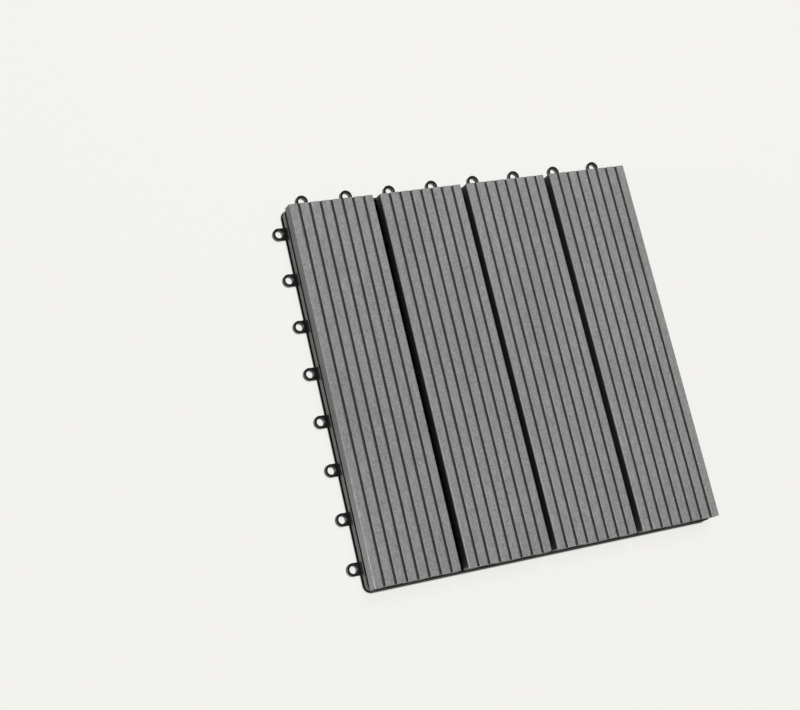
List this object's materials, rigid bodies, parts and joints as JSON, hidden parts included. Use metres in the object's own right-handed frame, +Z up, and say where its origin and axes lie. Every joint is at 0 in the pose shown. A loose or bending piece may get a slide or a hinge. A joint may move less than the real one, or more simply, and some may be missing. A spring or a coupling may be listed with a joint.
{
  "type": "interlocking deck tile",
  "caption": "Square outdoor floor tile: grooved composite slats screwed to a plastic base grid, with loops on two sides and pegs under the other two to join its neighbours.",
  "frame": {"origin": "middle of the tile, in the plane of its feet", "axes": "+Z up, out of the walking face; +Y along the slats, towards the end with loops; +X across the slats, away from the side with loops"},
  "size_m": [0.3107, 0.3107, 0.022],
  "materials": {
    "base": "black moulded polypropylene, slight sheen",
    "deck": "grey wood-plastic composite, brushed along its length",
    "screws": "plated self-tapping screws"
  },
  "bodies": {
    "root": {"base_grid": "base", "slat_1": "deck", "slat_2": "deck", "slat_3": "deck", "slat_4": "deck", "slat_screws": "screws"}
  },
  "joints": []
}
